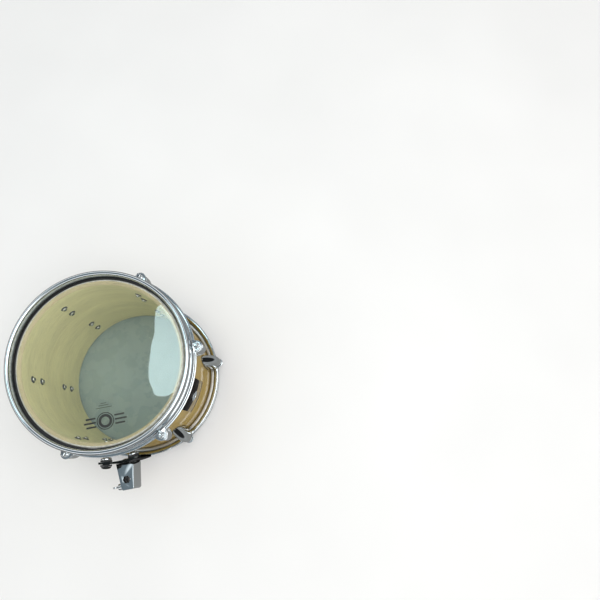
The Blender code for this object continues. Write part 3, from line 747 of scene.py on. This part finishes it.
def make_badge_and_vent():
    outline = rounded_outline(BADGE_WIDTH / 2, BADGE_HEIGHT / 2, 0.002, 5)
    plate = curved_plate(SHELL_RADIUS + GAP, 0.0010, outline, BADGE_ANGLE, CENTRE.z,
                         [(BADGE_ANGLE, CENTRE.z, VENT_RADIUS)], 0.0002)
    show("badge_plate", plate, badge_finish(), ["badge"])
    flange = SHELL_RADIUS + 0.0010 + 2 * GAP
    inside = SHELL_RADIUS - SHELL_WALL - 0.0005
    crown = filleted([(0.0048, flange + 0.0002), (0.0052, flange + 0.0012), (0.0064, flange + 0.0014),
                      (0.0088, flange + 0.0006), (0.0088, flange)], 0.0006, False)
    eyelet = [(0.0048, inside)] + crown + [(0.0058, flange), (0.0058, inside)]
    show("vent_eyelet", turned(eyelet[::-1], 64), CHROME, ["vent_grommet"],
         radial(BADGE_ANGLE, 0, CENTRE.z))


# Tom mount

def post_places():
    return {"left": FRONT - POST_ANGLE, "right": FRONT + POST_ANGLE}


def screw_heights():
    middle = BATTER - RECEIVER_DROP - RECEIVER_HEIGHT / 2
    return {"upper": middle + 0.0095, "lower": middle - 0.0075}


def make_mount_plate():
    outline = rounded_outline(PLATE_WIDTH / 2, PLATE_HEIGHT / 2, 0.009, 12)
    height = BATTER - PLATE_TOP - PLATE_HEIGHT / 2
    holes = [(angle, BATTER - POST_DROP, 0.0056) for angle in post_places().values()]
    holes += [(FRONT, level, SCREW_BORE) for level in screw_heights().values()]
    plate = curved_plate(PLATE_RADIUS, PLATE_SHEET, outline, FRONT, height, holes, 0.0006)
    show("standoff_plate", plate, DARK_CHROME, ["mount_plate"],
         Matrix.Translation((0, CENTRE.y, height)))


def make_posts():
    """Each side has a post on the shell, a rubber grommet in the plate and a screw through both."""
    middle = PLATE_RADIUS + PLATE_SHEET / 2
    foot, post_top = SHELL_RADIUS + 0.0006, middle - 0.0052
    low, high = post_top + GAP, middle + 0.0048
    seat = high + GAP
    post = filleted([(SCREW_BORE, post_top), (0.0080, post_top), (0.0080, post_top - 0.0022),
                     (0.0050, post_top - 0.0026), (0.0050, foot + 0.0034), (0.0080, foot + 0.0030),
                     (0.0080, foot), (0.0, foot)],
                    [0, 0.0005, 0.0005, 0.0012, 0.0012, 0.0005, 0.0003, 0], False)
    post = [(0, foot + 0.0050), (SCREW_BORE, foot + 0.0050)] + post
    neck = filleted([(SCREW_BORE, high), (0.0085, high), (0.0085, middle + 0.0021), (0.0051, middle + 0.0021),
                     (0.0051, middle - 0.0021), (0.0085, middle - 0.0021), (0.0085, low), (SCREW_BORE, low)],
                    [0.0004, 0.0009, 0.0006, 0.0003, 0.0003, 0.0006, 0.0009, 0.0004])
    tip = foot + 0.0065
    screw = filleted([(0, tip), (SCREW_RADIUS, tip), (SCREW_RADIUS, seat), (0.0072, seat),
                      (0.0072, seat + 0.0012), (0.0048, seat + 0.0030), (0, seat + 0.0034)],
                     [0, 0.0004, 0, 0.0004, 0.0006, 0.0010, 0], False)
    slots = []
    for turn in (0.4, 0.4 + math.pi / 2):
        slot = box_mesh((-0.0027, -0.00055, seat + 0.0012), (0.0027, 0.00055, seat + 0.005))
        slots.append(("DIFFERENCE", moved(slot, Matrix.Rotation(turn, 4, "Z"))))
    screw = combined(turned(screw, 56, False), slots)
    pieces = (("standoff_post", turned(post, 56, False), CHROME, "chrome", "mount_post"),
              ("rubber_bush", turned(neck[::-1], 56), RUBBER, "rubber", "grommet"),
              ("plate_screw", screw, DARK_CHROME, "dark_chrome", "mount_screw"))
    for side, angle in post_places().items():
        place = radial(angle, 0, BATTER - POST_DROP)
        for label, mesh, finish, slot, node in pieces:
            show(f"{side}_{label}", mesh, finish, [f"{side}_{node}"], place)


def half_width(radius):
    share = (radius - RECEIVER_BACK) / (RECEIVER_END - RECEIVER_BACK)
    return BACK_HALF_WIDTH + (END_HALF_WIDTH - BACK_HALF_WIDTH) * share


def at_receiver(outline):
    """Outline points given as (x, distance from the drum axis), in world X and Y, counterclockwise."""
    return [at_mount(*point) for point in outline]


def mount_pin(radius, x, distance, low, high, edge=0.0):
    place = Vector((*at_mount(x, distance), 0))
    rings = [ring_of(radius, 28, low), ring_of(radius, 28, high)]
    if edge:
        rings = [ring_of(radius - edge, 28, low), ring_of(radius, 28, low + edge),
                 ring_of(radius, 28, high - edge), ring_of(radius - edge, 28, high)]
    return loft([[point + place for point in ring] for ring in rings])


def mount_box(x_range, radius_range, heights):
    return box_mesh((x_range[0], CENTRE.y - radius_range[1], heights[0]),
                    (x_range[1], CENTRE.y - radius_range[0], heights[1]))


def hex_bore(low, high):
    corner, shift = BORE_FLATS / math.sqrt(3), Vector((*at_mount(0, BORE_RADIUS), 0))
    return loft([[point + shift for point in ring_of(corner, 6, height)] for height in (low, high)])


def in_world():
    return Matrix.Identity(4)


def paint_bore_shade(mesh):
    """The hex bore's walls take the dark steel finish in place of chrome: painted shade down the bore."""
    mesh.materials.append(CHROME)
    mesh.materials.append(DARK_STEEL)
    axis = Vector(at_mount(0, BORE_RADIUS))
    for face in mesh.polygons:
        if abs(face.normal.z) < 0.3 and (face.center.xy - axis).length < BORE_FLATS * 0.58:
            face.material_index = 1


def make_receiver():
    """The cast block with its collar round the hex bore, its two screws behind, and the clamp."""
    top = BATTER - RECEIVER_DROP
    bottom, clamp_top = top - RECEIVER_HEIGHT, top - COLLAR_HEIGHT
    bolt, ledge = (bottom + clamp_top) / 2, bottom + 0.0030
    near = RECEIVER_END - 0.002
    right = [(BACK_HALF_WIDTH, RECEIVER_BACK), (half_width(near), near),
             (END_HALF_WIDTH - 0.002, RECEIVER_END)]
    outline = at_receiver(right + [(-x, radius) for x, radius in reversed(right)])[::-1]
    open_side, low_side = (-BACK_HALF_WIDTH * 2, GAP), (bottom - 0.01, ledge + 0.001)
    slot = (bolt - 0.0038, bolt + 0.0038)
    pin_low, pin_high = bottom - 0.001, clamp_top + 0.0040
    tools = [mount_box(open_side, (JAW_SPACE, 0.21), (ledge, clamp_top)),
             mount_box(open_side, (LEDGE_END, 0.21), low_side),
             hex_bore(bottom - 0.01, top + 0.01),
             mount_pin(HINGE_PIN + GAP, HINGE_X, HINGE_RADIUS, pin_low, pin_high),
             mount_box((open_side[0], 0.0079), (EYE_RADIUS - 0.0040, 0.21), slot),
             mount_pin(EYE_PIN + GAP, EYE_X, EYE_RADIUS, bolt - 0.0075, bolt + 0.0075)]
    tools += [moved(loft([ring_of(0.0029, 28, 0), ring_of(0.0029, 28, 0.010)]),
                    radial(FRONT, RECEIVER_BACK - 0.004, level)) for level in screw_heights().values()]
    block = combined(prism(outline, bottom, top), [("DIFFERENCE", tool) for tool in tools], 0.0008)
    paint_bore_shade(block)
    show("receiver_casting", block, CHROME, ["receiver"], in_world())
    pin = mount_pin(HINGE_PIN, HINGE_X, HINGE_RADIUS, pin_low + 0.0012, pin_high - 0.0004, 0.0003)
    show("jaw_pin", pin, ZINC, ["hinge_pin"], in_world())
    pin = mount_pin(EYE_PIN, EYE_X, EYE_RADIUS, bolt - 0.0071, bolt + 0.0071, 0.0003)
    show("bolt_pin", pin, ZINC, ["eye_pin"], in_world())
    make_jaw(ledge + GAP, clamp_top - GAP, slot)
    make_swing_bolt(bolt)
    make_wing_nut(bolt)
    make_receiver_screws()


def make_jaw(low, high, slot):
    parting, inside, near = -0.0006, 0.1700, RECEIVER_END - 0.002
    knuckle = arc((HINGE_X, HINGE_RADIUS), 0.0036, 110, 334, 17)
    outline = [(parting, inside), (parting, RECEIVER_END), (-END_HALF_WIDTH + 0.002, RECEIVER_END),
               (-half_width(near), near), (-half_width(inside), inside)] + knuckle
    tools = [hex_bore(low - 0.01, high + 0.01),
             mount_pin(HINGE_PIN + GAP, HINGE_X, HINGE_RADIUS, low - 0.01, high + 0.01),
             mount_box((-0.03, 0.01), (EYE_RADIUS - 0.0036, 0.21), slot)]
    body = prism(at_receiver(outline)[::-1], low, high)
    jaw = combined(body, [("DIFFERENCE", tool) for tool in tools], 0.0006)
    paint_bore_shade(jaw)
    show("clamp_jaw_casting", jaw, CHROME, ["clamp_jaw"], in_world(), "jaw")


def along_bolt(bolt):
    """A matrix at the eye's centre whose local Z runs along the bolt, to -X."""
    return Matrix.Translation((*at_mount(EYE_X, EYE_RADIUS), bolt)) @ Matrix.Rotation(-math.pi / 2, 4, "Y")


def make_swing_bolt(bolt):
    """A round eye on its pin, with a threaded shank."""
    place = Matrix.Translation((*at_mount(EYE_X, EYE_RADIUS), bolt))
    eye = moved(prism(arc((0, 0), 0.0034, 0, 350, 36), -0.0030, 0.0030, 0.0005), place)
    start, end = 0.0026, EYE_BOLT_LENGTH
    pitch = 0.0008
    section = [(0, start), (EYE_BOLT_THICK, start), (EYE_BOLT_THICK, start + 0.0050)]
    for index in range(int((end - start - 0.0050) / pitch)):
        base = start + 0.0050 + pitch * index
        section += [(EYE_BOLT_THICK - 0.0003, base + 0.0002), (EYE_BOLT_THICK, base + pitch / 2 + 0.0002)]
    section += [(EYE_BOLT_THICK - 0.0006, end + 0.0006), (0, end + 0.0006)]
    shank = moved(turned(section, 28, False), along_bolt(bolt))
    hole = mount_pin(EYE_PIN + GAP, EYE_X, EYE_RADIUS, bolt - 0.01, bolt + 0.01)
    show("swing_bolt_steel", combined(eye, [("UNION", shank), ("DIFFERENCE", hole)]), ZINC,
         ["eye_bolt"], in_world(), "swing_bolt")


def make_wing_nut(bolt):
    """A round hub with two rounded wings that lean away from the jaw."""
    seat = EYE_X + half_width(EYE_RADIUS) + NUT_SETBACK
    hub = filleted([(0.0048, seat + 0.0085), (0.0056, seat + 0.0015), (0.0056, seat), (0.0029, seat),
                    (0.0029, seat + 0.0085)], [0.0006, 0.0005, 0.0003, 0.0002, 0.0003])
    tip = WING_SPAN / 2
    wing = filleted([(0.0040, seat + 0.0015), (0.0075, seat + 0.0025), (tip, seat + 0.0075),
                     (tip, seat + 0.0115), (tip - 0.0025, seat + 0.0135), (tip - 0.0060, seat + 0.0125),
                     (0.0040, seat + 0.0070)],
                    [0, 0.002, 0.002, 0.002, 0.002, 0.003, 0])
    stand = Matrix.Rotation(math.pi / 2, 4, "X")
    steps = []
    for turn in (0, math.pi):
        blade = moved(prism(wing, -0.0013, 0.0013, 0.0008, 4), Matrix.Rotation(turn, 4, "Z") @ stand)
        steps.append(("UNION", blade))
    nut = combined(turned(hub, 48), steps)
    show("wing_nut_cast", nut, CHROME, ["wing_nut"], along_bolt(bolt), "wing")


def make_receiver_screws():
    head = PLATE_RADIUS - GAP
    tip = RECEIVER_BACK + 0.0052
    section = filleted([(0, tip), (0.0025, tip), (0.0025, head), (0.0048, head), (0.0044, head - 0.0026),
                        (0, head - 0.0030)], [0, 0.0004, 0, 0.0003, 0.0008, 0], False)
    mesh = turned(section, 40, False)
    for level, height in screw_heights().items():
        show(f"{level}_block_screw", mesh, ZINC, [f"{level}_receiver_screw"],
             radial(FRONT, 0, height))


def finish_cad_nodes():
    """The swivel nuts keep their CAD solids, which only show down the lugs' pockets."""
    for name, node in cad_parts.items():
        if "swivel_nut" in name:
            node.data.materials.clear()
            node.data.materials.append(CAST_ZINC)


# Light, floor and camera

def area_light(name, place, target, size, power, colour=(1, 1, 1)):
    lamp = bpy.data.lights.new(name, "AREA")
    lamp.shape, lamp.size, lamp.size_y = "RECTANGLE", size[0], size[1]
    lamp.energy, lamp.color = power, colour
    holder = bpy.data.objects.new(name, lamp)
    bpy.context.scene.collection.objects.link(holder)
    holder.location = place
    holder.rotation_euler = (Vector(target) - Vector(place)).to_track_quat("-Z", "Y").to_euler()
    return holder


def make_window():
    """A glowing panel overhead: the batter film mirrors it on its right side, with an uneven left edge."""
    edge = [(0.02, 0.16), (0.02, 0.62), (-0.22, 0.61), (-0.282, 0.50), (-0.317, 0.42), (-0.345, 0.33),
            (-0.358, 0.25), (-0.33, 0.175), (-0.25, 0.135), (-0.14, 0.14)]
    panel = bpy.data.objects.new("window", prism(filleted(edge, 0.05, count=8), 0, 0.002))
    bpy.context.scene.collection.objects.link(panel)
    panel.location = (0, 0, 1.6)
    glow = bpy.data.materials.new("window_glow")
    glow.use_nodes = True
    light = add_node(glow.node_tree, "ShaderNodeEmission", Color=(0.72, 0.95, 1.0, 1), Strength=4.7)
    glow.node_tree.links.new(light.outputs[0], glow.node_tree.nodes["Material Output"].inputs["Surface"])
    panel.data.materials.append(glow)
    panel.visible_camera = False


def make_world():
    """Pale all round for the eye; for reflections a bright ceiling over a dark band at the horizon."""
    world = bpy.data.worlds.new("studio")
    bpy.context.scene.world = world
    world.use_nodes = True
    tree = world.node_tree
    place = add_node(tree, "ShaderNodeTexCoord")
    parts = add_node(tree, "ShaderNodeSeparateXYZ", [("Vector", place.outputs["Generated"])])
    height = parts.outputs["Z"]
    studio = ramp(tree, height, [(0.0, 0.10), (0.18, 0.08), (0.42, 0.55), (0.75, (0.97, 0.97, 0.96))])
    mirrored = ramp(tree, height, [(0.0, 0.30), (0.10, 0.02), (0.40, 0.02), (0.50, 2.0), (0.64, 2.0),
                                   (0.76, (0.16, 0.20, 0.23)), (0.96, (0.22, 0.27, 0.30)),
                                   (0.99, (1.10, 1.20, 1.25))])
    path = add_node(tree, "ShaderNodeLightPath")
    colour = mixed(tree, path.outputs["Is Glossy Ray"], studio, mirrored)
    colour = mixed(tree, path.outputs["Is Camera Ray"], colour, (0.86, 0.86, 0.855))
    background = tree.nodes["Background"]
    tree.links.new(colour, background.inputs["Color"])
    background.inputs["Strength"].default_value = 1.0


def make_floor():
    shape = bmesh.new()
    bmesh.ops.create_grid(shape, x_segments=1, y_segments=1, size=6)
    floor = bpy.data.objects.new("floor", finished(shape))
    bpy.context.scene.collection.objects.link(floor)
    made, tree, shader = new_shader("pale_floor", (0.82, 0.82, 0.82), 0.7)
    cloud = ramp(tree, stretched_noise(tree, 3, (1, 1, 1), 2), [(0.3, 0.80), (0.7, 0.84)])
    # Painted reflection: the floor turns dark grey in reflections while it stays pale to the eye, so the chrome
    # mirrors a dark surround.
    path = add_node(tree, "ShaderNodeLightPath")
    tree.links.new(mixed(tree, path.outputs["Is Glossy Ray"], cloud, (0.31, 0.31, 0.305)),
                   shader.inputs["Base Color"])
    floor.data.materials.append(made)


def make_camera():
    """Above the drum and to its right, looking almost straight down."""
    lens = bpy.data.cameras.new("camera")
    lens.lens, lens.sensor_width = 32.10, 36
    lens.shift_x, lens.shift_y = -0.018, 0.0886
    lens.clip_start = 0.01
    camera = bpy.data.objects.new("camera", lens)
    bpy.context.scene.collection.objects.link(camera)
    bpy.context.scene.camera = camera
    forward = Vector((0.0055, 0.1836, -0.9830)).normalized()
    side = forward.cross(Vector((0.1870, 0.9655, 0.1814))).normalized()
    turn = Matrix((side, side.cross(forward), -forward)).transposed().to_4x4()
    camera.matrix_world = Matrix.Translation((0.3103, CENTRE.y - 0.1948, 0.9969)) @ turn


bpy.context.scene.view_settings.view_transform = "Standard"
make_camera()
make_world()
make_floor()
make_window()
area_light("ceiling", (0.85, -0.35, 2.2), (0, 0, 0.1), (1.6, 1.6), 24, (1.0, 0.98, 0.95))
make_shell()
make_heads()
make_head_print()
make_tension_parts()
make_inner_screws()
make_badge_and_vent()
make_mount_plate()
make_posts()
make_receiver()
finish_cad_nodes()
